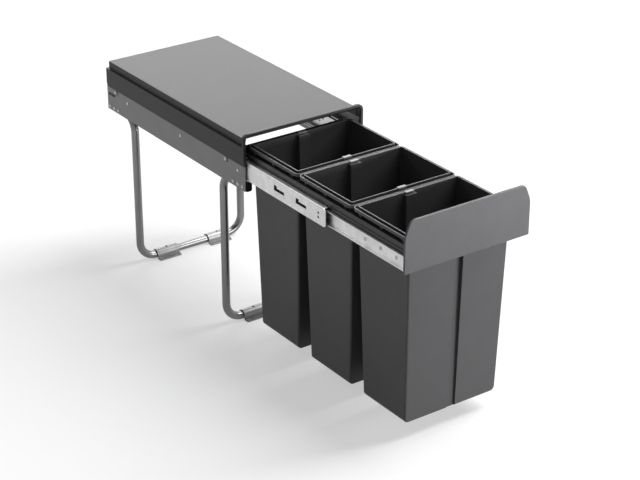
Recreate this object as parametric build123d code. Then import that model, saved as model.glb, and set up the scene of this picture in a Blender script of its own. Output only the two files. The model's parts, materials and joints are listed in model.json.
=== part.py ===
from build123d import *
import os

# Frame: millimetres, X is the width, -Y the front where the drawer comes out, Z up from the cabinet floor
# The origin is the middle of the floor screw pattern, and the drawer stands pulled out

# Body and cover
BODY_WIDTH = 256.0
BODY_LENGTH = 479.0
LEG_HEIGHT = 299.5
PANEL_SHEET = 1.2
PANEL_FLANGE = 12.0
FLANGE_SETBACK = 40.0
COVER_WALL = 2.0
COVER_TOP_WALL = 2.5
COVER_PANEL_GAP = 0.3
COVER_CORNER = 4.0
LEDGE_ROUND = 0.9
SKIRT_DROP = 35.0
SKIRT_CHAMFER = 8.0
LEDGE_WIDTH = 4.4
PLATFORM_RISE = 14.0
PLATFORM_RADIUS = 1.5
HEADROOM = 13.5
RIM_RISE = 10.0
RIM_DEPTH = 5.5
RIM_WIDTH = 4.6
RIM_RADIUS = 11.0
RIM_CORNER_DEPTH = 2.5
FLARE_SETBACK = 2.0
FLARE_LENGTH = 9.0
FLARE_LEAN = 3.0
COVER_INNER_ROUND = 0.5
CLIP_LENGTH = 36.0
CLIP_HEIGHT = 11.5
CLIP_SHEET = 1.2
CLIP_TIP = 5.0
CLIP_CORNER = 3.0
CLIP_FROM_REAR = 33.0
CLIP_FROM_FRONT = 61.0
LATCH_LENGTH = 22.0
LATCH_HEIGHT = 6.0
LATCH_THICKNESS = 0.8
LATCH_CORNER = 2.0

# Leg hoops and foot clamps
TUBE_DIAMETER = 15.0
TUBE_WALL = 1.2
TUBE_BEND = 33.0
TUBE_DROP = 0.5
TUBE_FLOOR_GAP = 0.5
LEG_INSET = 84.5
PLUG_HEAD = 5.0
PLUG_WIDTH = 13.0
PLUG_HEIGHT = 18.0
PLUG_STUB = 8.0
PLUG_RAISE = 1.0
PLUG_CORNER = 4.0
CLAMP_LENGTH = 49.0
CLAMP_BEND_GAP = 0.5
CLAMP_SHEET = 2.0
CLAMP_CROWN = 2.6
CLAMP_FLANGE = 12.5
CLAMP_CORNER = 4.0
CLAMP_HOLE_SPACING = 33.0
CLAMP_HOLE_OFFSET = 14.5
CLAMP_HOLE = 5.0
GRUB_SCREW = 4.8
GRUB_SINK = 0.4
GRUB_SOCKET = 1.3
GRUB_SOCKET_DEPTH = 1.3
FIT_GAP = 0.1
HOLE_PLAY = 0.05
CUT_OVER = 1.0

# Ball-bearing slides
SLIDE_SETBACK = 9.5
SLIDE_REAR_GAP = 19.5
SLIDE_THICKNESS = 12.7
SLIDE_SHEET = 1.2
SLIDE_ROUND = 2.0
SLIDE_GAP = 1.15
MIDDLE_HALF = 17.6
MIDDLE_SHORTER = 10.0
MIDDLE_STEP = 1.5
OUTER_LIP_GAP = 2.5
MIDDLE_LIP_GAP = 1.6
INNER_LIP_DEPTH = 1.7
MIDDLE_SHARE = 0.544
BALL = 3.0
BALL_PLAY = 0.2
CAGE_SHEET = 0.8
CAGE_GAP = 0.3
CAGE_LIP = 2.4
CAGE_START = 15.0
OUTER_BALL_AT = 6.2
INNER_BALL_AT = 8.2
BALL_COUNT = 5
BALL_PITCH = 30.0
SLOT_AT = (55.0, 120.0)
SLOT_LENGTH = 30.5
SLOT_HEEL = 9.0
SLOT_BELOW = 3.4
SLOT_ABOVE = 2.4
SLOT_HEEL_ABOVE = 6.6
NOSE_LENGTH = 7.0
NOSE_DROP = 3.6
NOSE_HOLE = 4.6
NOSE_HOLE_AT = 20.0
NOSE_HOLE_RISE = 4.0
TAIL_HOLE = 4.0
TAIL_HOLE_COUNT = 4
TAIL_HOLE_FIRST = 82.0
TAIL_HOLE_PITCH = 11.0
TAIL_HOLE_RISE = 3.5
GROOVE_INSET = 5.5
GROOVE_WIDTH = 2.0
GROOVE_DEPTH = 0.5
LEVER_LENGTH = 50.0
LEVER_HEIGHT = 7.0
LEVER_THICKNESS = 2.8
LEVER_GAP = 0.2
LEVER_ROUND = 3.0
PIN = 3.0
PIN_PLAY = 0.08
PIN_HEAD_HEIGHT = 0.8
BUFFER_LENGTH = 8.0
BUFFER_HEIGHT = 16.0
BUFFER_SETBACK = 3.0

# Carrier and front plate
RAIL_SHEET = 1.5
RAIL_RISE = 29.0
RAIL_DROP = 12.5
RAIL_FLANGE = 7.3
RAIL_ROUND = 0.9
RAIL_BEAD = 1.3
BEAD_GAP = 0.8
REAR_CLEAR = 4.0
BAR_DROP = 32.0
BAR_FLANGE = 7.0
BAR_TAB = 16.0
BACK_STOP = 9.0
STOP_CORNER = 3.0
PLATE_SHEET = 3.0
PLATE_HEIGHT = 92.0
PLATE_DROP = 11.0
PLATE_TAPER = 12.0
PLATE_TAPER_HEIGHT = 29.0
PLATE_SHOULDER = 40.0
PLATE_CORNER = 14.0
PLATE_FOOT_CORNER = 2.0
PLATE_EDGE = 1.5
PLATE_CLOSED_GAP = 1.0
STUD = 4.0
STUD_SPREAD = 140.0
STUD_AT = (6.0, 18.0)
STUD_PLAY = 0.1
STUD_TIP = 1.0
STUD_ROOT = 1.0
NUT_FLATS = 7.0
NUT_HEIGHT = 3.2

# Bins
BIN_COUNT = 3
BIN_HEIGHT = 350.5
BIN_WALL = 2.0
BIN_GAP = 1.2
BIN_TAPER_X = 7.5
BIN_TAPER_Y = 11.0
BIN_CORNER = 6.0
RIM_CORNER_GROW = 3.0
BIN_EDGE = 3.2
BIN_FOOT_ROUND = 9.0
BIN_FRONT_ROOM = 9.0
BIN_REAR_ROOM = 9.0
BIN_RIM_INSET = 2.3
BIN_RIM_HEIGHT = 11.3
BIN_RIM_BAND = 5.5
BIN_RIM_FLOOR = 1.2
RIM_FOOT = 6.0
RIM_FOOT_INSET = 20.0
RIM_FOOT_SETBACK = 2.2
BIN_LIP_RISE = 2.5
BIN_GROOVE_X = 6.0
BIN_GROOVE_Y = 7.4
BIN_SEAT_GAP = 0.2
CHANNEL_WIDTH = 18.0
CHANNEL_DEPTH = 7.0
CHANNEL_FOOT_DEPTH = 3.5
BAG_CLIP_WIDTH = 16.5
BAG_CLIP_DEPTH = 3.2
BAG_CLIP_SHEET = 0.8
BAG_CLIP_GRIP = 3.2
BAG_CLIP_GAP = 0.3
BAG_CLIP_ROUND = 0.5

# Rivets
RIVET = 4.0
RIVET_HEAD = 6.4
RIVET_HEAD_HEIGHT = 1.0
RIVET_HEAD_ROUND = 0.7
LEG_RIVET_FIRST = 9.0
LEG_RIVET_PITCH = 15.2
LEG_RIVET_COUNT = 3
LEG_RIVET_TAIL = 1.4
SLIDE_RIVET_FIRST = 13.5
SLIDE_RIVET_LAST = 56.5
SLIDE_RIVET_DROP = 4.3
RAIL_RIVETS_FROM_FRONT = (24.0, 65.0, 106.0)
RAIL_RIVETS_FROM_REAR = (120.0, 30.0)
BAR_RIVETS_AT = (5.5, 12.0)
BAR_RIVET_RISE = 19.0

# Widths that follow, as distances from the middle plane
HALF = BODY_WIDTH / 2
PANEL_OUTER = HALF - COVER_WALL - COVER_PANEL_GAP
PANEL_INNER = PANEL_OUTER - PANEL_SHEET
TUBE_R = TUBE_DIAMETER / 2
TUBE_X = PANEL_INNER - TUBE_R
CLAMP_X = TUBE_X - TUBE_BEND - CLAMP_BEND_GAP - CLAMP_LENGTH / 2
RAIL_OUTER = PANEL_INNER - SLIDE_THICKNESS
RAIL_INNER = RAIL_OUTER - RAIL_SHEET
BIN_RIM_X = RAIL_OUTER - BIN_RIM_INSET
BIN_LIP_X = BIN_RIM_X - BIN_GROOVE_X

# Heights that follow
RACE = BALL + 2 * BALL_PLAY
OUTER_HALF = MIDDLE_HALF + RACE + SLIDE_SHEET
INNER_HALF = MIDDLE_HALF - SLIDE_SHEET - RACE
RUN_Z = LEG_HEIGHT - TUBE_DROP + TUBE_R
FLOOR_RUN_Z = TUBE_FLOOR_GAP + TUBE_R
SLIDE_Z = RUN_Z + TUBE_R + SLIDE_GAP + OUTER_HALF
RAIL_TOP = SLIDE_Z + RAIL_RISE
BIN_RIM_BOTTOM = RAIL_TOP + BIN_SEAT_GAP
BIN_RIM_TOP = BIN_RIM_BOTTOM + BIN_RIM_HEIGHT
BIN_TOP = BIN_RIM_TOP + BIN_LIP_RISE
BIN_BOTTOM = BIN_TOP - BIN_HEIGHT
COVER_UNDER = BIN_TOP + HEADROOM
COVER_TOP = COVER_UNDER + COVER_TOP_WALL
LEDGE_Z = COVER_TOP - PLATFORM_RISE
PANEL_TOP = LEDGE_Z - COVER_WALL
SKIRT_BOTTOM = LEDGE_Z - SKIRT_DROP
RIM_TOP = COVER_TOP + RIM_RISE
PLATE_BOTTOM = SLIDE_Z - PLATE_DROP
PLATE_TOP = PLATE_BOTTOM + PLATE_HEIGHT

# Lengths that follow
FRONT_Y = CLAMP_HOLE_OFFSET - BODY_LENGTH / 2
REAR_Y = CLAMP_HOLE_OFFSET + BODY_LENGTH / 2
SLIDE_FRONT = FRONT_Y + SLIDE_SETBACK
SLIDE_REAR = REAR_Y - SLIDE_REAR_GAP
SLIDE_LENGTH = SLIDE_REAR - SLIDE_FRONT
TRAVEL = SLIDE_LENGTH
MIDDLE_TRAVEL = TRAVEL * MIDDLE_SHARE
MIDDLE_FRONT = SLIDE_FRONT + MIDDLE_STEP - MIDDLE_TRAVEL
MIDDLE_REAR = MIDDLE_FRONT + SLIDE_LENGTH - MIDDLE_SHORTER
INNER_FRONT = SLIDE_FRONT + 2 * MIDDLE_STEP - TRAVEL
INNER_REAR = INNER_FRONT + SLIDE_LENGTH
LEVER_Y = INNER_FRONT + SLIDE_LENGTH / 2
PLATE_BACK = FRONT_Y - PLATE_CLOSED_GAP - TRAVEL
RAIL_REAR = REAR_Y - REAR_CLEAR - TRAVEL
BIN_FIRST_Y = PLATE_BACK + BIN_FRONT_ROOM
BIN_LAST_Y = RAIL_REAR - BIN_REAR_ROOM
BIN_PITCH = (BIN_LAST_Y - BIN_FIRST_Y + BIN_GAP) / BIN_COUNT
BIN_RIM_Y = (BIN_PITCH - BIN_GAP) / 2
BIN_LIP_Y = BIN_RIM_Y - BIN_GROOVE_Y

# Slide section: distances from the panel towards the middle plane
OUTER_WEB = (0.0, SLIDE_SHEET)
OUTER_CAGE_WEB = (SLIDE_SHEET + CAGE_GAP, SLIDE_SHEET + CAGE_GAP + CAGE_SHEET)
MIDDLE_WEB = (OUTER_CAGE_WEB[1] + CAGE_GAP, OUTER_CAGE_WEB[1] + CAGE_GAP + SLIDE_SHEET)
INNER_CAGE_WEB = (MIDDLE_WEB[1] + CAGE_GAP, MIDDLE_WEB[1] + CAGE_GAP + CAGE_SHEET)
INNER_WEB = (SLIDE_THICKNESS - SLIDE_SHEET, SLIDE_THICKNESS)
OUTER_REACH = SLIDE_THICKNESS - OUTER_LIP_GAP
MIDDLE_REACH = SLIDE_THICKNESS - MIDDLE_LIP_GAP
INNER_REACH = INNER_CAGE_WEB[1] + INNER_LIP_DEPTH

LEFT = -1
RIGHT = 1
SIDES = (LEFT, RIGHT)


# Basic shapes
def block(x, y, z):
    size = (x[1] - x[0], y[1] - y[0], z[1] - z[0])
    middle = ((x[0] + x[1]) / 2, (y[0] + y[1]) / 2, (z[0] + z[1]) / 2)
    return Pos(*middle) * Box(*size)


def across(side, low, high):
    if side == RIGHT:
        return (low, high)
    return (-high, -low)


def in_slide(side, near, far):
    return across(side, PANEL_INNER - far, PANEL_INNER - near)


def rod_x(x, y, z, radius):
    return Pos((x[0] + x[1]) / 2, y, z) * Rot(0, 90, 0) * Cylinder(radius, x[1] - x[0])


def rod_y(x, y, z, radius):
    return Pos(x, (y[0] + y[1]) / 2, z) * Rot(90, 0, 0) * Cylinder(radius, y[1] - y[0])


def rod_z(x, y, z, radius):
    return Pos(x, y, (z[0] + z[1]) / 2) * Cylinder(radius, z[1] - z[0])


def arch(half, y, bottom, top, radius):
    slab = block((-half, half), y, (bottom, top))
    return fillet(slab.edges().filter_by(Axis.Y).group_by(Axis.Z)[-1], radius)


def wedge_yz(x, corners):
    plane = Plane((x[0], 0, 0), x_dir=(0, 1, 0), z_dir=(1, 0, 0))
    return extrude(plane * make_face(Polyline(*corners, close=True)), amount=x[1] - x[0])


def rounded_plate(half_x, half_y, radius, y_mid, z):
    return Pos(0, y_mid, z) * RectangleRounded(2 * half_x, 2 * half_y, radius)


def rivet(side, face, tail, y, z):
    shank = rod_x(across(side, tail, face), y, z, RIVET / 2)
    head = rod_x(across(side, face, face + RIVET_HEAD_HEIGHT), y, z, RIVET_HEAD / 2)
    rim = head.edges().filter_by(GeomType.CIRCLE).sort_by(Axis.X)
    outer_edge = rim[-1] if side == RIGHT else rim[0]
    return shank + fillet(outer_edge, RIVET_HEAD_ROUND)


def rivet_hole(side, low, high, y, z):
    return rod_x(across(side, low, high), y, z, RIVET / 2 + HOLE_PLAY)


# Places of the repeated pieces
def leg_lines():
    front = (FRONT_Y + LEG_INSET, FRONT_Y, LEFT)
    rear = (REAR_Y - LEG_INSET, REAR_Y, RIGHT)
    return (front, rear)


def leg_rivet_places(end_y, way):
    return [end_y - way * (LEG_RIVET_FIRST + k * LEG_RIVET_PITCH) for k in range(LEG_RIVET_COUNT)]


def slide_rivet_places():
    first = SLIDE_FRONT + SLIDE_RIVET_FIRST
    last = SLIDE_REAR - SLIDE_RIVET_LAST
    return (first, (first + last) / 2, last)


def clip_places():
    return (FRONT_Y + CLIP_FROM_FRONT, REAR_Y - CLIP_FROM_REAR)


def rail_rivet_places():
    front = [INNER_FRONT + at for at in RAIL_RIVETS_FROM_FRONT]
    rear = [INNER_REAR - at for at in RAIL_RIVETS_FROM_REAR]
    return front + rear


def bar_rivet_places():
    front = [PLATE_BACK + at for at in BAR_RIVETS_AT]
    rear = [RAIL_REAR - at for at in BAR_RIVETS_AT]
    return front + rear


def stud_places():
    return [(side * STUD_SPREAD / 2, SLIDE_Z + z) for side in SIDES for z in STUD_AT]


SLIDE_RIVET_Z = SLIDE_Z - SLIDE_RIVET_DROP
BAR_RIVET_Z = SLIDE_Z + BAR_RIVET_RISE
CLIP_RIVET_Z = SKIRT_BOTTOM - CLIP_HEIGHT / 2


# Top cover: raised platform on a ledge, side skirts and a raised rim round the front opening
def cover_outer():
    skirt = block((-HALF, HALF), (FRONT_Y, REAR_Y), (SKIRT_BOTTOM, LEDGE_Z))
    skirt = fillet(skirt.edges().filter_by(Axis.Z).group_by(Axis.Y)[-1], COVER_CORNER)
    skirt = fillet(skirt.edges().group_by(Axis.Z)[-1].sort_by(Axis.Y)[1:], LEDGE_ROUND)
    half = HALF - LEDGE_WIDTH
    rise = (LEDGE_Z - COVER_WALL, COVER_TOP)
    top = block((-half, half), (FRONT_Y + RIM_DEPTH - 1, REAR_Y - LEDGE_WIDTH), rise)
    top = fillet(top.edges().filter_by(Axis.Z).group_by(Axis.Y)[-1], COVER_CORNER)
    upper = top.edges().group_by(Axis.Z)[-1].sort_by(Axis.Y)
    return skirt + fillet(upper[1:], PLATFORM_RADIUS)


def cover_cavity():
    skirt_half = HALF - COVER_WALL
    through = (FRONT_Y - 1, REAR_Y + 1)
    skirt = block((-skirt_half, skirt_half), through, (SKIRT_BOTTOM - 1, LEDGE_Z - COVER_WALL))
    half = HALF - LEDGE_WIDTH - COVER_TOP_WALL
    rear = REAR_Y - LEDGE_WIDTH - COVER_TOP_WALL
    top = block((-half, half), (FRONT_Y - 1, rear), (SKIRT_BOTTOM - 1, COVER_UNDER))
    inner_corner = max(COVER_CORNER - COVER_TOP_WALL, COVER_INNER_ROUND)
    top = fillet(top.edges().filter_by(Axis.Z).group_by(Axis.Y)[-1], inner_corner)
    upper = top.edges().group_by(Axis.Z)[-1].sort_by(Axis.Y)
    return skirt + fillet(upper[1:], max(PLATFORM_RADIUS - COVER_TOP_WALL, COVER_INNER_ROUND))


def cover_flare(half):
    y = FRONT_Y + FLARE_SETBACK
    low = RIM_TOP - RIM_WIDTH
    under = COVER_UNDER
    corners = [
        (y, low),
        (y + FLARE_LENGTH, under),
        (y + FLARE_LENGTH + FLARE_LEAN, under + COVER_TOP_WALL),
        (y + FLARE_LEAN, low + COVER_TOP_WALL),
    ]
    flare = wedge_yz((-half, half), corners)
    cheek = [(y, under)] + corners[1:] + [(y, low)]
    for side in SIDES:
        flare += wedge_yz(across(side, half - COVER_WALL, half), cheek)
    return flare


def top_cover():
    flat_half = HALF - LEDGE_WIDTH - PLATFORM_RADIUS
    cavity = cover_cavity()
    shell = cover_outer() - cavity
    mouth_y = (FRONT_Y - CUT_OVER, FRONT_Y + FLARE_SETBACK + FLARE_LENGTH)
    shell -= block((-flat_half, flat_half), mouth_y, (SKIRT_BOTTOM - 1, COVER_TOP + 1))
    frame_y = (FRONT_Y, FRONT_Y + RIM_DEPTH)
    rim = arch(HALF, frame_y, SKIRT_BOTTOM, RIM_TOP, RIM_RADIUS)
    hole_y = (FRONT_Y - 1, FRONT_Y + RIM_DEPTH + 1)
    rim -= arch(HALF - RIM_WIDTH, hole_y, SKIRT_BOTTOM - 1, RIM_TOP - RIM_WIDTH, RIM_RADIUS - RIM_WIDTH)
    corner_y = (FRONT_Y + RIM_DEPTH - RIM_CORNER_DEPTH, FRONT_Y + RIM_DEPTH)
    corners = arch(HALF, corner_y, SKIRT_BOTTOM, RIM_TOP, RIM_RADIUS)
    corners -= block((-flat_half, flat_half), hole_y, (SKIRT_BOTTOM - 1, RIM_TOP - RIM_WIDTH))
    corners -= cavity
    cover = shell + rim + corners + cover_flare(flat_half + 1.0)
    bottom = SKIRT_BOTTOM
    cut = [
        (REAR_Y + 1, bottom - 1),
        (REAR_Y - SKIRT_CHAMFER - 1, bottom - 1),
        (REAR_Y + 1, bottom + SKIRT_CHAMFER + 1),
    ]
    return cover - wedge_yz((-HALF - 1, HALF + 1), cut)


def cover_clips():
    clips = []
    for side in SIDES:
        for y in clip_places():
            x = across(side, PANEL_OUTER, PANEL_OUTER + CLIP_SHEET)
            span = (y - CLIP_TIP, y - CLIP_TIP + CLIP_LENGTH)
            clip = block(x, span, (SKIRT_BOTTOM - CLIP_HEIGHT, SKIRT_BOTTOM))
            clip = fillet(clip.edges().filter_by(Axis.X).group_by(Axis.Z)[0], CLIP_CORNER)
            clips.append(clip - rivet_hole(side, PANEL_INNER, HALF, y, CLIP_RIVET_Z))
    return Compound(children=clips)


def clip_latches():
    latches = []
    top = SKIRT_BOTTOM - CLIP_HEIGHT
    y = REAR_Y - CLIP_FROM_REAR + CLIP_TIP
    for side in SIDES:
        x = across(side, PANEL_OUTER, PANEL_OUTER + LATCH_THICKNESS)
        latch = block(x, (y, y + LATCH_LENGTH), (top - LATCH_HEIGHT, top))
        latches.append(fillet(latch.edges().filter_by(Axis.X).group_by(Axis.Z)[0], LATCH_CORNER))
    return Compound(children=latches)


def clip_rivets():
    face = PANEL_OUTER + CLIP_SHEET
    rivets = []
    for side in SIDES:
        for y in clip_places():
            rivets.append(rivet(side, face, PANEL_INNER, y, CLIP_RIVET_Z))
    return Compound(children=rivets)


# Side panels: folded sheet with an inward flange under the cover's ledge
def side_panel(side):
    wall = across(side, PANEL_INNER, PANEL_OUTER)
    sheet = block(wall, (FRONT_Y, REAR_Y), (LEG_HEIGHT, PANEL_TOP))
    rim_back = FRONT_Y + RIM_DEPTH + COVER_PANEL_GAP
    ledge = across(side, PANEL_INNER - PANEL_FLANGE, PANEL_OUTER)
    sheet += block(ledge, (FRONT_Y + FLANGE_SETBACK, REAR_Y), (PANEL_TOP - PANEL_SHEET, PANEL_TOP))
    notch_z = (SKIRT_BOTTOM - COVER_PANEL_GAP, PANEL_TOP + 1)
    sheet -= block(across(side, 1.0, HALF), (FRONT_Y - 1, rim_back), notch_z)
    for _, end_y, way in leg_lines():
        for y in leg_rivet_places(end_y, way):
            sheet -= rivet_hole(side, PANEL_INNER - 1, HALF, y, RUN_Z)
    for y in slide_rivet_places():
        sheet -= rivet_hole(side, PANEL_INNER - 1, HALF, y, SLIDE_RIVET_Z)
    for y in clip_places():
        sheet -= rivet_hole(side, PANEL_INNER - 1, HALF, y, CLIP_RIVET_Z)
    return sheet


# Leg hoops: one bent tube each, lying along the panels' lower edges at the top
def leg_hoop(leg_y, end_y, way):
    tip_y = end_y - way * PLUG_HEAD
    points = [
        (-TUBE_X, tip_y, RUN_Z),
        (-TUBE_X, leg_y, RUN_Z),
        (-TUBE_X, leg_y, FLOOR_RUN_Z),
        (TUBE_X, leg_y, FLOOR_RUN_Z),
        (TUBE_X, leg_y, RUN_Z),
        (TUBE_X, tip_y, RUN_Z),
    ]
    path = FilletPolyline(*points, radius=TUBE_BEND)
    ring = Circle(TUBE_R) - Circle(TUBE_R - TUBE_WALL)
    tube = sweep(Plane(path @ 0, z_dir=path % 0) * ring, path=path)
    for side in SIDES:
        for y in leg_rivet_places(end_y, way):
            tube -= rivet_hole(side, TUBE_X, PANEL_INNER + 1, y, RUN_Z)
    return tube


def tube_end_plugs():
    plugs = []
    for _, end_y, way in leg_lines():
        for side in SIDES:
            tip_y = end_y - way * PLUG_HEAD
            y = (min(tip_y, end_y), max(tip_y, end_y))
            x = across(side, PANEL_INNER - FIT_GAP - PLUG_WIDTH, PANEL_INNER - FIT_GAP)
            z = (RUN_Z - PLUG_HEIGHT / 2 + PLUG_RAISE, RUN_Z + PLUG_HEIGHT / 2 + PLUG_RAISE)
            head = block(x, y, z)
            head = fillet(head.edges().filter_by(Axis.Y), PLUG_CORNER)
            stub_y = tip_y - way * PLUG_STUB
            stub = (min(stub_y, tip_y), max(stub_y, tip_y))
            plug = head + rod_y(side * TUBE_X, stub, RUN_Z, TUBE_R - TUBE_WALL - FIT_GAP)
            pinned = leg_rivet_places(end_y, way)[0]
            plugs.append(plug - rivet_hole(side, TUBE_X, PANEL_INNER, pinned, RUN_Z))
    return Compound(children=plugs)


def leg_rivets():
    tail = PANEL_INNER - TUBE_WALL - LEG_RIVET_TAIL
    rivets = []
    for _, end_y, way in leg_lines():
        for side in SIDES:
            for y in leg_rivet_places(end_y, way):
                rivets.append(rivet(side, PANEL_OUTER, tail, y, RUN_Z))
    return Compound(children=rivets)


# Foot clamps: saddles over the hoops' floor runs with a screw flange on the front side
def foot_clamp(x_mid, leg_y):
    span = (x_mid - CLAMP_LENGTH / 2, x_mid + CLAMP_LENGTH / 2)
    bore = TUBE_R + FIT_GAP
    wall = bore + CLAMP_CROWN
    top = FLOOR_RUN_Z + wall
    saddle = block(span, (leg_y - wall, leg_y + wall), (0.0, FLOOR_RUN_Z))
    saddle += rod_x(span, leg_y, FLOOR_RUN_Z, wall) & block(span, (leg_y - wall, leg_y + wall), (0.0, top))
    edge = leg_y - bore - CLAMP_FLANGE
    flange = block(span, (edge, leg_y - bore), (0.0, CLAMP_SHEET))
    flange = fillet(flange.edges().filter_by(Axis.Z).group_by(Axis.Y)[0], CLAMP_CORNER)
    clamp = saddle + flange
    wide = (span[0] - 1, span[1] + 1)
    clamp -= block(wide, (leg_y - bore, leg_y + bore), (-1.0, FLOOR_RUN_Z))
    clamp -= rod_x(wide, leg_y, FLOOR_RUN_Z, bore)
    for way in SIDES:
        hole_x = x_mid + way * CLAMP_HOLE_SPACING / 2
        clamp -= rod_z(hole_x, leg_y - CLAMP_HOLE_OFFSET, (-1.0, CLAMP_SHEET + 1), CLAMP_HOLE / 2)
    return clamp - rod_z(x_mid, leg_y, (FLOOR_RUN_Z, top + 1), GRUB_SCREW / 2 + HOLE_PLAY)


def grub_screws():
    crown = FLOOR_RUN_Z + TUBE_R
    length = FIT_GAP + CLAMP_CROWN - GRUB_SINK
    screws = []
    for leg_y, _, _ in leg_lines():
        for side in SIDES:
            x = side * CLAMP_X
            screw = rod_z(x, leg_y, (crown, crown + length), GRUB_SCREW / 2)
            socket = Pos(x, leg_y, crown + length - GRUB_SOCKET_DEPTH) * RegularPolygon(GRUB_SOCKET, 6)
            screws.append(screw - extrude(socket, amount=GRUB_SOCKET_DEPTH + CUT_OVER))
    return Compound(children=screws)


# Ball-bearing slides: outer member on the panel, middle member, inner member on the carrier
def channel(side, y, web, reach, half):
    near = min(web[0], reach)
    far = max(web[1], reach)
    member = block(in_slide(side, *web), y, (SLIDE_Z - half, SLIDE_Z + half))
    edge = half - SLIDE_SHEET
    member += block(in_slide(side, near, far), y, (SLIDE_Z + edge, SLIDE_Z + half))
    member += block(in_slide(side, near, far), y, (SLIDE_Z - half, SLIDE_Z - edge))
    long_edges = member.edges().filter_by(Axis.Y).group_by(Axis.X)
    web_corners = long_edges[0] if len(long_edges[0]) == 2 else long_edges[-1]
    return fillet(web_corners, SLIDE_ROUND)


def slide_outer(side):
    member = channel(side, (SLIDE_FRONT, SLIDE_REAR), OUTER_WEB, OUTER_REACH, OUTER_HALF)
    for y in slide_rivet_places():
        member -= rivet_hole(side, PANEL_INNER - 2 * SLIDE_SHEET, PANEL_INNER + 1, y, SLIDE_RIVET_Z)
    return member


def slide_rivets():
    rivets = []
    for side in SIDES:
        for y in slide_rivet_places():
            rivets.append(rivet(side, PANEL_OUTER, PANEL_INNER - SLIDE_SHEET, y, SLIDE_RIVET_Z))
    return Compound(children=rivets)


def slide_buffers():
    buffers = []
    for side in SIDES:
        x = in_slide(side, SLIDE_SHEET, SLIDE_THICKNESS - BUFFER_SETBACK)
        z = (SLIDE_Z - BUFFER_HEIGHT / 2, SLIDE_Z + BUFFER_HEIGHT / 2)
        buffers.append(block(x, (SLIDE_REAR - BUFFER_LENGTH, SLIDE_REAR), z))
    return Compound(children=buffers)


def slide_middle(side):
    y = (MIDDLE_FRONT, MIDDLE_REAR)
    member = channel(side, y, MIDDLE_WEB, MIDDLE_REACH, MIDDLE_HALF)
    wide = in_slide(side, 0.0, SLIDE_THICKNESS)
    for way in SIDES:
        tip = SLIDE_Z + way * (MIDDLE_HALF + FIT_GAP)
        nose = SLIDE_Z + way * (MIDDLE_HALF - NOSE_DROP)
        corner = [(y[0] - FIT_GAP, tip), (y[0] + NOSE_LENGTH, tip), (y[0] - FIT_GAP, nose)]
        member -= wedge_yz(wide, corner)
        member -= rod_x(wide, y[0] + NOSE_HOLE_AT, SLIDE_Z + way * NOSE_HOLE_RISE, NOSE_HOLE / 2)
        line = SLIDE_Z + way * (MIDDLE_HALF - GROOVE_INSET)
        groove_x = in_slide(side, MIDDLE_WEB[0] - CUT_OVER, MIDDLE_WEB[0] + GROOVE_DEPTH)
        member -= block(groove_x, y, (line - GROOVE_WIDTH / 2, line + GROOVE_WIDTH / 2))
    for at in SLOT_AT:
        slot = (y[0] + at, y[0] + at + SLOT_LENGTH)
        heel = (slot[1] - SLOT_HEEL, slot[1])
        member -= block(wide, slot, (SLIDE_Z - SLOT_BELOW, SLIDE_Z + SLOT_ABOVE))
        member -= block(wide, heel, (SLIDE_Z - SLOT_BELOW, SLIDE_Z + SLOT_HEEL_ABOVE))
    for k in range(TAIL_HOLE_COUNT):
        hole_y = y[1] - TAIL_HOLE_FIRST - TAIL_HOLE_PITCH * k
        hole_z = SLIDE_Z + (TAIL_HOLE_RISE if k % 2 else -TAIL_HOLE_RISE)
        member -= rod_x(wide, hole_y, hole_z, TAIL_HOLE / 2)
    return member


def slide_inner(side):
    member = channel(side, (INNER_FRONT, INNER_REAR), INNER_WEB, INNER_REACH, INNER_HALF)
    for y in rail_rivet_places():
        member -= rivet_hole(side, RAIL_OUTER - 1, RAIL_OUTER + 2 * SLIDE_SHEET, y, SLIDE_Z)
    pin_x = in_slide(side, INNER_WEB[0] - 1, INNER_WEB[1] + 1)
    return member - rod_x(pin_x, LEVER_Y, SLIDE_Z, PIN / 2)


# Ball cages: folded strips that carry a row of balls above and below
def ball_line(front, count):
    return [front + BALL_PITCH * (k + 0.5) for k in range(count)]


def race_height(half):
    return half + RACE / 2


def cage(side, front, web, ball_at, half):
    length = BALL_PITCH * BALL_COUNT
    y = (front, front + length)
    high = race_height(half)
    lip = CAGE_SHEET / 2
    sheet = block(in_slide(side, *web), y, (SLIDE_Z - high - lip, SLIDE_Z + high + lip))
    for way in SIDES:
        z = SLIDE_Z + way * high
        sheet += block(in_slide(side, web[0], ball_at + CAGE_LIP), y, (z - lip, z + lip))
    for ball_y in ball_line(front, BALL_COUNT):
        for way in SIDES:
            x = side * (PANEL_INNER - ball_at)
            z = SLIDE_Z + way * high
            sheet -= rod_z(x, ball_y, (z - BALL / 2, z + BALL / 2), BALL / 2 + FIT_GAP)
    return sheet


def cage_balls(side, front, ball_at, half):
    balls = []
    for y in ball_line(front, BALL_COUNT):
        for way in SIDES:
            z = SLIDE_Z + way * race_height(half)
            balls.append(Pos(side * (PANEL_INNER - ball_at), y, z) * Sphere(BALL / 2))
    return Compound(children=balls)


OUTER_CAGE_FRONT = SLIDE_FRONT + CAGE_START
INNER_CAGE_FRONT = MIDDLE_FRONT + CAGE_START
LEVER_FACE = INNER_WEB[0] - LEVER_GAP - LEVER_THICKNESS


# Release levers: each tilts on a pin in the inner member
def release_lever(side):
    y = LEVER_Y
    x = in_slide(side, LEVER_FACE, INNER_WEB[0] - LEVER_GAP)
    half = LEVER_HEIGHT / 2
    arm = block(x, (y, y + LEVER_LENGTH), (SLIDE_Z - half, SLIDE_Z + half))
    arm = fillet(arm.edges().filter_by(Axis.X).group_by(Axis.Y)[-1], LEVER_ROUND)
    arm += rod_x(x, y, SLIDE_Z, half)
    return arm - rod_x((x[0] - 1, x[1] + 1), y, SLIDE_Z, PIN / 2 + PIN_PLAY)


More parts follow.
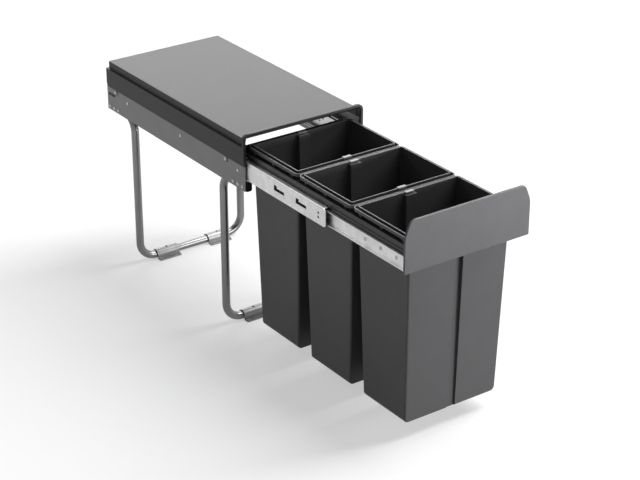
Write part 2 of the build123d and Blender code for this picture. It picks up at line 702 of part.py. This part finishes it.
def lever_pins():
    pins = []
    for side in SIDES:
        seat = LEVER_FACE - LEVER_GAP
        shank = rod_x(in_slide(side, seat - PIN_HEAD_HEIGHT / 2, INNER_WEB[1]), LEVER_Y, SLIDE_Z, PIN / 2)
        head = rod_x(in_slide(side, seat - PIN_HEAD_HEIGHT, seat), LEVER_Y, SLIDE_Z, PIN)
        pins.append(shank + head)
    return Compound(children=pins)


# Carrier: two rails with flanges for the bins' rims, joined by a front and a rear bar
def carrier_rail(side):
    y = (PLATE_BACK, RAIL_REAR)
    rail = block(across(side, RAIL_INNER, RAIL_OUTER), y, (SLIDE_Z - RAIL_DROP, RAIL_TOP))
    rail += block(across(side, RAIL_OUTER - RAIL_FLANGE, RAIL_OUTER), y, (RAIL_TOP - RAIL_SHEET, RAIL_TOP))
    top_edges = rail.edges().filter_by(Axis.Y).group_by(Axis.Z)[-1].sort_by(Axis.X)
    rail = fillet(top_edges[-1] if side == RIGHT else top_edges[0], RAIL_ROUND)
    bead_z = SLIDE_Z + MIDDLE_HALF + BEAD_GAP
    rail += block(across(side, RAIL_OUTER, RAIL_OUTER + RAIL_BEAD), y, (bead_z, bead_z + RAIL_BEAD))
    for rivet_y in rail_rivet_places():
        rail -= rivet_hole(side, RAIL_INNER - 1, RAIL_OUTER + 1, rivet_y, SLIDE_Z)
    for rivet_y in bar_rivet_places():
        rail -= rivet_hole(side, RAIL_INNER - 1, RAIL_OUTER + 1, rivet_y, BAR_RIVET_Z)
    return rail


def rail_rivets():
    rivets = []
    for side in SIDES:
        for y in rail_rivet_places():
            rivets.append(rivet(side, RAIL_OUTER + SLIDE_SHEET, RAIL_INNER, y, SLIDE_Z))
    return Compound(children=rivets)


def bar_rivets():
    rivets = []
    for side in SIDES:
        for y in bar_rivet_places():
            tail = RAIL_INNER - RAIL_SHEET
            shank = rod_x(across(side, tail, RAIL_OUTER), y, BAR_RIVET_Z, RIVET / 2)
            head = rod_x(across(side, tail - RIVET_HEAD_HEIGHT, tail), y, BAR_RIVET_Z, RIVET_HEAD / 2)
            rivets.append(shank + head)
    return Compound(children=rivets)


def cross_bar(face_y, way):
    top = RAIL_TOP - RAIL_SHEET
    ends = (-RAIL_INNER, RAIL_INNER)
    bottom = RAIL_TOP - BAR_DROP

    def depth(reach):
        return (min(face_y, face_y + way * reach), max(face_y, face_y + way * reach))

    bar = block(ends, depth(RAIL_SHEET), (bottom, top))
    bar += block(ends, depth(BAR_FLANGE), (top - RAIL_SHEET, top))
    for side in SIDES:
        tab = block(across(side, RAIL_INNER - RAIL_SHEET, RAIL_INNER), depth(BAR_TAB), (bottom, top))
        bar += tab
    for side in SIDES:
        for y in bar_rivet_places():
            bar -= rivet_hole(side, RAIL_INNER - 2 * RAIL_SHEET, RAIL_INNER + 1, y, BAR_RIVET_Z)
    return bar


def carrier_front_bar():
    bar = cross_bar(PLATE_BACK, RIGHT)
    for x, z in stud_places():
        bar -= rod_y(x, (PLATE_BACK - CUT_OVER, PLATE_BACK + 2 * RAIL_SHEET), z, STUD / 2 + STUD_PLAY)
    return bar


def carrier_rear_bar():
    sheet = (RAIL_REAR - RAIL_SHEET, RAIL_REAR)
    between_rails = RAIL_OUTER - RAIL_FLANGE - FIT_GAP
    stop = block((-between_rails, between_rails), sheet, (RAIL_TOP - 2 * RAIL_SHEET, RAIL_TOP + BACK_STOP))
    stop += block((-RAIL_OUTER, RAIL_OUTER), sheet, (RAIL_TOP, RAIL_TOP + BACK_STOP))
    stop = fillet(stop.edges().filter_by(Axis.Y).group_by(Axis.Z)[-1], STOP_CORNER)
    return cross_bar(RAIL_REAR, LEFT) + stop


# Front plate: flat sheet with tapered and rounded upper corners, on four studs
def front_plate():
    shoulder = PLATE_TOP - PLATE_TAPER_HEIGHT
    corners = [
        (-HALF, PLATE_BOTTOM),
        (HALF, PLATE_BOTTOM),
        (HALF, shoulder),
        (HALF - PLATE_TAPER, PLATE_TOP),
        (-HALF + PLATE_TAPER, PLATE_TOP),
        (-HALF, shoulder),
    ]
    outline = make_face(Polyline(*corners, close=True))
    levels = outline.vertices().group_by(Axis.Y)
    outline = fillet(levels[1], PLATE_SHOULDER)
    levels = outline.vertices().group_by(Axis.Y)
    outline = fillet(levels[-1], PLATE_CORNER)
    levels = outline.vertices().group_by(Axis.Y)
    outline = fillet(levels[0], PLATE_FOOT_CORNER)
    back = Plane((0, PLATE_BACK, 0), x_dir=(1, 0, 0), z_dir=(0, -1, 0))
    plate = extrude(back * outline, amount=PLATE_SHEET)
    plate = fillet(plate.faces().sort_by(Axis.Y)[0].edges(), PLATE_EDGE)
    for x, z in stud_places():
        stud_y = (PLATE_BACK - STUD_ROOT, PLATE_BACK + RAIL_SHEET + NUT_HEIGHT + STUD_TIP)
        plate += rod_y(x, stud_y, z, STUD / 2)
    return plate


def plate_nuts():
    nuts = []
    for x, z in stud_places():
        seat = Plane((x, PLATE_BACK + RAIL_SHEET, z), x_dir=(1, 0, 0), z_dir=(0, 1, 0))
        hexagon = RegularPolygon(NUT_FLATS / 2, 6, major_radius=False) - Circle(STUD / 2 + HOLE_PLAY)
        nuts.append(extrude(seat * hexagon, amount=NUT_HEIGHT))
    return Compound(children=nuts)


# Bins: tapered tubs with a grooved rim and an upright channel in the front and rear walls
def bin_body(y_mid, inset, z):
    half_x = BIN_LIP_X - inset
    half_y = BIN_LIP_Y - inset
    foot = Pos(0, y_mid, z[0]) * Rectangle(2 * (half_x - BIN_TAPER_X), 2 * (half_y - BIN_TAPER_Y))
    mouth = Pos(0, y_mid, z[1]) * Rectangle(2 * half_x, 2 * half_y)
    body = loft([foot, mouth])
    foot_sides = body.edges().group_by(Axis.Z)[0].filter_by(Axis.Y)
    body = fillet(foot_sides, BIN_FOOT_ROUND - inset)
    for end in (0, -1):
        wall = body.faces().sort_by(Axis.Y)[end]
        body = fillet(wall.edges().sort_by(Axis.Z)[:-1], BIN_EDGE - inset)
    return body


def wall_channel(y_mid, way, grow, top):
    foot_y = BIN_LIP_Y - BIN_TAPER_Y
    bottom = BIN_BOTTOM - 1.0
    wall_y = foot_y + BIN_TAPER_Y * (top - BIN_BOTTOM) / BIN_HEIGHT
    corners = [
        (y_mid + way * (foot_y - CHANNEL_FOOT_DEPTH - grow), bottom),
        (y_mid + way * BIN_LIP_Y, bottom),
        (y_mid + way * (BIN_LIP_Y + BIN_WALL), top),
        (y_mid + way * (wall_y - CHANNEL_DEPTH - grow), top),
    ]
    half = CHANNEL_WIDTH / 2 + grow
    return wedge_yz((-half, half), corners)


def bin_tub(y_mid):
    tub = bin_body(y_mid, 0.0, (BIN_BOTTOM, BIN_TOP))
    cavity = bin_body(y_mid, BIN_WALL, (BIN_BOTTOM + BIN_WALL, BIN_TOP))
    for way in SIDES:
        tub -= wall_channel(y_mid, way, 0.0, BIN_RIM_BOTTOM - 1.0)
        cavity -= wall_channel(y_mid, way, BIN_WALL, BIN_TOP - BAG_CLIP_GRIP - 2 * FIT_GAP)
    return tub + bin_rim(y_mid) + bin_feet(y_mid) - cavity


# Rim round a bin: a shallow trough outside the lip, carried on small feet that rest on the rails
def bin_rim(y_mid):
    bottom = BIN_RIM_TOP - BIN_RIM_BAND
    rim = rounded_plate(BIN_RIM_X, BIN_RIM_Y, BIN_CORNER + RIM_CORNER_GROW, y_mid, bottom)
    inner = (BIN_RIM_X - BIN_WALL, BIN_RIM_Y - BIN_WALL, BIN_CORNER + RIM_CORNER_GROW - BIN_WALL)
    groove = rounded_plate(*inner, y_mid, bottom + BIN_RIM_FLOOR)
    return extrude(rim, amount=BIN_RIM_BAND) - extrude(groove, amount=BIN_RIM_BAND)


def bin_feet(y_mid):
    feet = []
    z = (BIN_RIM_BOTTOM, BIN_RIM_TOP - BIN_RIM_BAND + BIN_RIM_FLOOR / 2)
    for side in SIDES:
        x = across(side, BIN_LIP_X - BIN_WALL / 2, BIN_RIM_X - RIM_FOOT_SETBACK)
        for step in (-1, 0, 1):
            y = y_mid + step * (BIN_RIM_Y - RIM_FOOT_INSET)
            feet.append(block(x, (y - RIM_FOOT / 2, y + RIM_FOOT / 2), z))
    return feet


# Bag clips: a saddle on the lip of the front and rear walls with a ledge to the inside
def bag_clips(y_mid):
    half = BAG_CLIP_WIDTH / 2
    clips = []
    for way in SIDES:
        outer = BIN_LIP_Y + FIT_GAP
        inner = BIN_LIP_Y - BIN_WALL - BAG_CLIP_GAP
        span = sorted((y_mid + way * (inner - BAG_CLIP_DEPTH), y_mid + way * (outer + BAG_CLIP_SHEET)))
        clip = block((-half, half), span, (BIN_TOP, BIN_TOP + BAG_CLIP_SHEET))
        for foot in ((outer, outer + BAG_CLIP_SHEET), (inner - BAG_CLIP_SHEET, inner)):
            y = sorted(y_mid + way * edge for edge in foot)
            clip += block((-half, half), y, (BIN_TOP - BAG_CLIP_GRIP, BIN_TOP + BAG_CLIP_SHEET))
        clips.append(fillet(clip.edges().filter_by(Axis.X).group_by(Axis.Z)[-1], BAG_CLIP_ROUND))
    return Compound(children=clips)


# Writing the sub-parts
def all_parts():
    front_leg, rear_leg = leg_lines()
    parts = {
        "top_cover": top_cover(),
        "cover_clips": cover_clips(),
        "clip_latches": clip_latches(),
        "clip_rivets": clip_rivets(),
        "front_leg_hoop": leg_hoop(*front_leg),
        "rear_leg_hoop": leg_hoop(*rear_leg),
        "tube_end_plugs": tube_end_plugs(),
        "leg_rivets": leg_rivets(),
        "grub_screws": grub_screws(),
        "slide_rivets": slide_rivets(),
        "slide_buffers": slide_buffers(),
        "lever_pins": lever_pins(),
        "carrier_front_bar": carrier_front_bar(),
        "carrier_rear_bar": carrier_rear_bar(),
        "rail_rivets": rail_rivets(),
        "bar_rivets": bar_rivets(),
        "front_plate": front_plate(),
        "plate_nuts": plate_nuts(),
    }
    for side, name in ((LEFT, "left"), (RIGHT, "right")):
        parts["side_panel_" + name] = side_panel(side)
        parts["foot_clamp_front_" + name] = foot_clamp(side * CLAMP_X, front_leg[0])
        parts["foot_clamp_rear_" + name] = foot_clamp(side * CLAMP_X, rear_leg[0])
        parts["slide_outer_" + name] = slide_outer(side)
        parts["slide_middle_" + name] = slide_middle(side)
        parts["slide_inner_" + name] = slide_inner(side)
        outer = (side, OUTER_CAGE_FRONT)
        inner = (side, INNER_CAGE_FRONT)
        parts["outer_cage_" + name] = cage(*outer, OUTER_CAGE_WEB, OUTER_BALL_AT, MIDDLE_HALF)
        parts["outer_balls_" + name] = cage_balls(*outer, OUTER_BALL_AT, MIDDLE_HALF)
        parts["inner_cage_" + name] = cage(*inner, INNER_CAGE_WEB, INNER_BALL_AT, INNER_HALF)
        parts["inner_balls_" + name] = cage_balls(*inner, INNER_BALL_AT, INNER_HALF)
        parts["release_lever_" + name] = release_lever(side)
        parts["carrier_rail_" + name] = carrier_rail(side)
    for k, name in enumerate(("front", "middle", "rear")):
        bin_y = BIN_FIRST_Y + BIN_RIM_Y + k * BIN_PITCH
        parts["bin_" + name] = bin_tub(bin_y)
        parts["bag_clips_" + name] = bag_clips(bin_y)
    return parts


os.makedirs("parts", exist_ok=True)
for node, shape in all_parts().items():
    export_step(shape, "parts/" + node + ".step")
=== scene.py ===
import json
import math

import bpy
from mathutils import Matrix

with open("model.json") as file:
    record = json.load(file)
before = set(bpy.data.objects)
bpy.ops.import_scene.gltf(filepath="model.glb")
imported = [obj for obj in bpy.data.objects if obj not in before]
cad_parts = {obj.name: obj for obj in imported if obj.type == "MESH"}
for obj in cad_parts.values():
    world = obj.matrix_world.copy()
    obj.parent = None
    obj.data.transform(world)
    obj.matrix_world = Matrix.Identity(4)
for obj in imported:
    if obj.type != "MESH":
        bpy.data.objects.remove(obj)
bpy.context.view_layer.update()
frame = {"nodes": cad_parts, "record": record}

nodes = frame["nodes"]

# Noise: the part of its range that shows, and its stretch for brushed marks along the slides and clamps
NOISE_LOW = 0.3
NOISE_HIGH = 0.7
EVEN = (1.0, 1.0, 1.0)
ALONG_Y = (900.0, 14.0, 900.0)
ALONG_X = (14.0, 900.0, 900.0)
EDGE_SAMPLES = 4

# Moulded plastic and rubber
PLASTIC_CLOUD = 14.0
PLASTIC_GRAIN = 1500.0
PLASTIC_TONES = (0.94, 1.06)
PLASTIC_SHEEN = 0.05
PLASTIC_RELIEF = 0.25
PLASTIC_DEPTH = 0.0002

# Painted steel
PAINT_CLOUD = 22.0
PAINT_PEEL = 420.0
PAINT_TONES = (0.95, 1.05)
PAINT_SHEEN = 0.04
PAINT_RELIEF = 0.12
PAINT_DEPTH = 0.0002
TUBE_SHEEN = 0.008
TUBE_RELIEF = 0.003

# Bare and plated steel
ZINC_BLOOM = 60.0
ZINC_STREAK = 1.0
ZINC_TONES = (0.9, 1.06)
ZINC_SHEEN = 0.07
ZINC_RELIEF = 0.1
ZINC_DEPTH = 0.0001

# Studio floor and room
FLOOR_SIZE = 24.0
FLOOR_LEVEL = -0.0005
FLOOR_BOUNCE = 0.3
FLOOR_PAPER = 0.9
FLOOR_GLOW = 0.5
FLOOR_SHINE = 0.74
ROOM_LIGHT = 0.1
ROOM_SHINE = 1.0
ROOM_FADE_ACROSS = (-0.9, 0.3)
ROOM_FADE_LEVEL = (0.6, 1.0)
WHITE = (1.0, 1.0, 1.0)
COOL_WHITE = (1.0, 0.985, 1.05)

# Camera, found from the photograph's straight edges
CAMERA_PLACE = (-1.76119, -2.75399, 1.67601)
CAMERA_LOOKS_DOWN = 26.02
CAMERA_TURN = -35.36
CAMERA_SENSOR = 36.0
CAMERA_LENS = 107.0


# Finishes: each has a wandering tone, an uneven sheen and a fine relief

def new_finish(name):
    finish = bpy.data.materials.new(name)
    finish.use_nodes = True
    tree = finish.node_tree
    shader = tree.nodes["Principled BSDF"]
    place = tree.nodes.new("ShaderNodeTexCoord")
    return finish, tree, shader, place


def noise_in(tree, place, scale, detail=3.0, stretch=EVEN):
    mapping = tree.nodes.new("ShaderNodeMapping")
    mapping.inputs["Scale"].default_value = stretch
    tree.links.new(place.outputs["Object"], mapping.inputs["Vector"])
    noise = tree.nodes.new("ShaderNodeTexNoise")
    noise.inputs["Scale"].default_value = scale
    noise.inputs["Detail"].default_value = detail
    tree.links.new(mapping.outputs["Vector"], noise.inputs["Vector"])
    return noise.outputs["Fac"]


def vary_tone(tree, shader, noise, grey, tones):
    ramp = tree.nodes.new("ShaderNodeValToRGB")
    for stop, at, tone in zip(ramp.color_ramp.elements, (NOISE_LOW, NOISE_HIGH), tones):
        stop.position = at
        stop.color = (grey * tone, grey * tone, grey * tone, 1.0)
    tree.links.new(noise, ramp.inputs["Fac"])
    tree.links.new(ramp.outputs["Color"], shader.inputs["Base Color"])


def vary_sheen(tree, shader, noise, rough, sheen):
    spread = tree.nodes.new("ShaderNodeMapRange")
    spread.inputs["From Min"].default_value = NOISE_LOW
    spread.inputs["From Max"].default_value = NOISE_HIGH
    spread.inputs["To Min"].default_value = rough - sheen
    spread.inputs["To Max"].default_value = rough + sheen
    tree.links.new(noise, spread.inputs["Value"])
    tree.links.new(spread.outputs["Result"], shader.inputs["Roughness"])


def add_relief(tree, shader, noise, strength, depth, edge):
    bump = tree.nodes.new("ShaderNodeBump")
    bump.inputs["Strength"].default_value = strength
    bump.inputs["Distance"].default_value = depth
    tree.links.new(noise, bump.inputs["Height"])
    if edge > 0.0:
        soft_edge = tree.nodes.new("ShaderNodeBevel")
        soft_edge.samples = EDGE_SAMPLES
        soft_edge.inputs["Radius"].default_value = edge
        tree.links.new(soft_edge.outputs["Normal"], bump.inputs["Normal"])
    tree.links.new(bump.outputs["Normal"], shader.inputs["Normal"])


def grained_plastic(name, grey, rough, specular, edge=0.0):
    finish, tree, shader, place = new_finish(name)
    cloud = noise_in(tree, place, PLASTIC_CLOUD)
    grain = noise_in(tree, place, PLASTIC_GRAIN, detail=2.0)
    vary_tone(tree, shader, cloud, grey, PLASTIC_TONES)
    vary_sheen(tree, shader, grain, rough, PLASTIC_SHEEN)
    shader.inputs["Specular IOR Level"].default_value = specular
    add_relief(tree, shader, grain, PLASTIC_RELIEF, PLASTIC_DEPTH, edge)
    return finish


def powder_coat(name, grey, rough, metallic, edge=0.0, peel_height=PAINT_RELIEF, uneven=PAINT_SHEEN):
    finish, tree, shader, place = new_finish(name)
    cloud = noise_in(tree, place, PAINT_CLOUD)
    peel = noise_in(tree, place, PAINT_PEEL, detail=2.0)
    vary_tone(tree, shader, cloud, grey, PAINT_TONES)
    vary_sheen(tree, shader, peel, rough, uneven)
    shader.inputs["Metallic"].default_value = metallic
    add_relief(tree, shader, peel, peel_height, PAINT_DEPTH, edge)
    return finish


def zinc_plate(name, grey, rough, brushed, edge=0.0):
    finish, tree, shader, place = new_finish(name)
    streak = noise_in(tree, place, ZINC_STREAK, detail=4.0, stretch=brushed)
    bloom = noise_in(tree, place, ZINC_BLOOM)
    vary_tone(tree, shader, bloom, grey, ZINC_TONES)
    vary_sheen(tree, shader, streak, rough, ZINC_SHEEN)
    shader.inputs["Metallic"].default_value = 1.0
    add_relief(tree, shader, streak, ZINC_RELIEF, ZINC_DEPTH, edge)
    return finish


finishes = {
    "cover_plastic": grained_plastic("cover grained plastic", grey=0.025, rough=0.42, specular=0.32, edge=0.0008),
    "bin_plastic": grained_plastic("bin grained plastic", grey=0.08, rough=0.4, specular=0.45, edge=0.0005),
    # Black plastic also colours the latch blocks under the rear cover clips; there the black is painted shade in
    # place of the slot the clip tab leaves in the panel. On the other parts it is their own colour.
    "black_plastic": grained_plastic("black plug plastic and painted slot shade", grey=0.008, rough=0.45, specular=0.3, edge=0.0006),
    "cage_plastic": grained_plastic("black cage plastic", grey=0.006, rough=0.6, specular=0.15),
    "clip_plastic": grained_plastic("bag clip plastic", grey=0.28, rough=0.35, specular=0.5, edge=0.0003),
    "buffer_rubber": grained_plastic("buffer rubber", grey=0.015, rough=0.7, specular=0.25, edge=0.0008),
    "panel_steel": powder_coat("side panel paint", grey=0.32, rough=0.4, metallic=0.2, edge=0.0003),
    "tube_steel": powder_coat(
        "leg tube paint", grey=0.24, rough=0.28, metallic=1.0, peel_height=TUBE_RELIEF, uneven=TUBE_SHEEN
    ),
    "carrier_steel": powder_coat("carrier dark paint", grey=0.035, rough=0.38, metallic=0.1, edge=0.0007),
    "plate_steel": powder_coat("front plate paint", grey=0.105, rough=0.42, metallic=0.1, edge=0.0006),
    "clamp_steel": zinc_plate("clamp zinc", grey=0.32, rough=0.48, brushed=ALONG_X, edge=0.0006),
    "slide_steel": zinc_plate("slide zinc", grey=0.78, rough=0.4, brushed=ALONG_Y, edge=0.0004),
    "bright_steel": zinc_plate("rivet zinc", grey=0.5, rough=0.36, brushed=ALONG_Y, edge=0.0003),
    "dark_steel": zinc_plate("dark fastener steel", grey=0.01, rough=0.6, brushed=ALONG_Y, edge=0.0002),
    "ball_steel": zinc_plate("ball steel", grey=0.75, rough=0.14, brushed=ALONG_Y),
}

for part in frame["record"]["subparts"]:
    holder = nodes[part["node"]]
    for slot in holder.material_slots:
        slot.material = finishes[part["material_slot"]]


# Floor, light and camera

# What the camera and, to the share of shine, a glossy surface see instead of what lights the object
def seen_by_eye(tree, shine):
    path = tree.nodes.new("ShaderNodeLightPath")
    shiny = tree.nodes.new("ShaderNodeMath")
    shiny.operation = "MULTIPLY"
    shiny.inputs[1].default_value = shine
    tree.links.new(path.outputs["Is Glossy Ray"], shiny.inputs[0])
    seen = tree.nodes.new("ShaderNodeMath")
    seen.operation = "MAXIMUM"
    tree.links.new(path.outputs["Is Camera Ray"], seen.inputs[0])
    tree.links.new(shiny.outputs["Value"], seen.inputs[1])
    return path.outputs["Is Camera Ray"], seen.outputs["Value"]


def matt_paper(tree, grey):
    paper = tree.nodes.new("ShaderNodeBsdfDiffuse")
    paper.inputs["Color"].default_value = (grey, grey, grey, 1.0)
    return paper.outputs["BSDF"]


# Pale paper that glows a little where it is seen, so that it is near white and keeps the shadow
def pale_floor():
    bpy.ops.object.select_all(action="DESELECT")
    bpy.ops.mesh.primitive_plane_add(size=FLOOR_SIZE, location=(0.0, 0.0, FLOOR_LEVEL))
    floor = bpy.context.object
    floor.name = "studio_floor"
    bpy.ops.object.transform_apply(location=True, rotation=True, scale=True)
    paper = bpy.data.materials.new("studio paper")
    paper.use_nodes = True
    tree = paper.node_tree
    tree.nodes.clear()
    glow = tree.nodes.new("ShaderNodeEmission")
    glow.inputs["Color"].default_value = (*WHITE, 1.0)
    lit = tree.nodes.new("ShaderNodeMixShader")
    lit.inputs["Fac"].default_value = FLOOR_GLOW
    blend = tree.nodes.new("ShaderNodeMixShader")
    surface = tree.nodes.new("ShaderNodeOutputMaterial")
    _, seen = seen_by_eye(tree, FLOOR_SHINE)
    tree.links.new(matt_paper(tree, FLOOR_PAPER), lit.inputs[1])
    tree.links.new(glow.outputs["Emission"], lit.inputs[2])
    tree.links.new(seen, blend.inputs["Fac"])
    tree.links.new(matt_paper(tree, FLOOR_BOUNCE), blend.inputs[1])
    tree.links.new(lit.outputs["Shader"], blend.inputs[2])
    tree.links.new(blend.outputs["Shader"], surface.inputs["Surface"])
    floor.data.materials.append(paper)


# White room that gives little light, and is greyer on the left in glossy surfaces
def white_room():
    room = bpy.data.worlds.new("studio room")
    bpy.context.scene.world = room
    room.use_nodes = True
    tree = room.node_tree
    tree.nodes.clear()
    way = tree.nodes.new("ShaderNodeTexCoord")
    across = tree.nodes.new("ShaderNodeSeparateXYZ")
    tree.links.new(way.outputs["Generated"], across.inputs["Vector"])
    fade = tree.nodes.new("ShaderNodeMapRange")
    fade.inputs["From Min"].default_value = ROOM_FADE_ACROSS[0]
    fade.inputs["From Max"].default_value = ROOM_FADE_ACROSS[1]
    fade.inputs["To Min"].default_value = ROOM_FADE_LEVEL[0]
    fade.inputs["To Max"].default_value = ROOM_FADE_LEVEL[1]
    tree.links.new(across.outputs["X"], fade.inputs["Value"])
    camera_ray, seen = seen_by_eye(tree, ROOM_SHINE)
    level = tree.nodes.new("ShaderNodeMath")
    level.operation = "MAXIMUM"
    tree.links.new(camera_ray, level.inputs[0])
    tree.links.new(fade.outputs["Result"], level.inputs[1])
    dim = tree.nodes.new("ShaderNodeBackground")
    dim.inputs["Strength"].default_value = ROOM_LIGHT
    bright = tree.nodes.new("ShaderNodeBackground")
    tree.links.new(level.outputs["Value"], bright.inputs["Strength"])
    blend = tree.nodes.new("ShaderNodeMixShader")
    surface = tree.nodes.new("ShaderNodeOutputWorld")
    tree.links.new(seen, blend.inputs["Fac"])
    tree.links.new(dim.outputs["Background"], blend.inputs[1])
    tree.links.new(bright.outputs["Background"], blend.inputs[2])
    tree.links.new(blend.outputs["Shader"], surface.inputs["Surface"])


def softbox(name, place, aim, size, power, colour=WHITE):
    bpy.ops.object.select_all(action="DESELECT")
    bpy.ops.object.light_add(type="AREA", location=place)
    lamp = bpy.context.object
    lamp.name = name
    lamp.data.shape = "RECTANGLE"
    lamp.data.size, lamp.data.size_y = size
    lamp.data.energy = power
    lamp.data.color = colour
    away = [a - p for a, p in zip(aim, place)]
    tilt = math.atan2(math.hypot(away[0], away[1]), -away[2])
    turn = math.atan2(-away[0], away[1])
    lamp.rotation_euler = (tilt, 0.0, turn)
    lamp.visible_camera = False


def photo_camera():
    bpy.ops.object.select_all(action="DESELECT")
    bpy.ops.object.camera_add(location=CAMERA_PLACE)
    camera = bpy.context.object
    camera.name = "photo_camera"
    camera.rotation_euler = (math.radians(90.0 - CAMERA_LOOKS_DOWN), 0.0, math.radians(CAMERA_TURN))
    camera.data.sensor_width = CAMERA_SENSOR
    camera.data.lens = CAMERA_LENS
    camera.data.dof.use_dof = False
    bpy.context.scene.camera = camera


pale_floor()
white_room()
softbox("right_softbox", place=(4.6, -1.1, 6.8), aim=(0.0, -0.3, 0.2), size=(3.2, 7.6), power=890.0)
softbox("rear_softbox", place=(1.9, 3.2, 2.0), aim=(0.0, 0.0, 0.4), size=(2.6, 1.6), power=55.0)
softbox("rear_left_softbox", place=(-1.9, 3.3, 2.6), aim=(0.0, 0.0, 0.4), size=(1.5, 1.0), power=16.0)
softbox(
    "front_softbox", place=(0.9, -1.75, 0.36), aim=(0.0, -0.66, 0.25), size=(1.0, 0.3), power=17.5, colour=COOL_WHITE
)
photo_camera()
bpy.context.scene.view_settings.view_transform = "Standard"
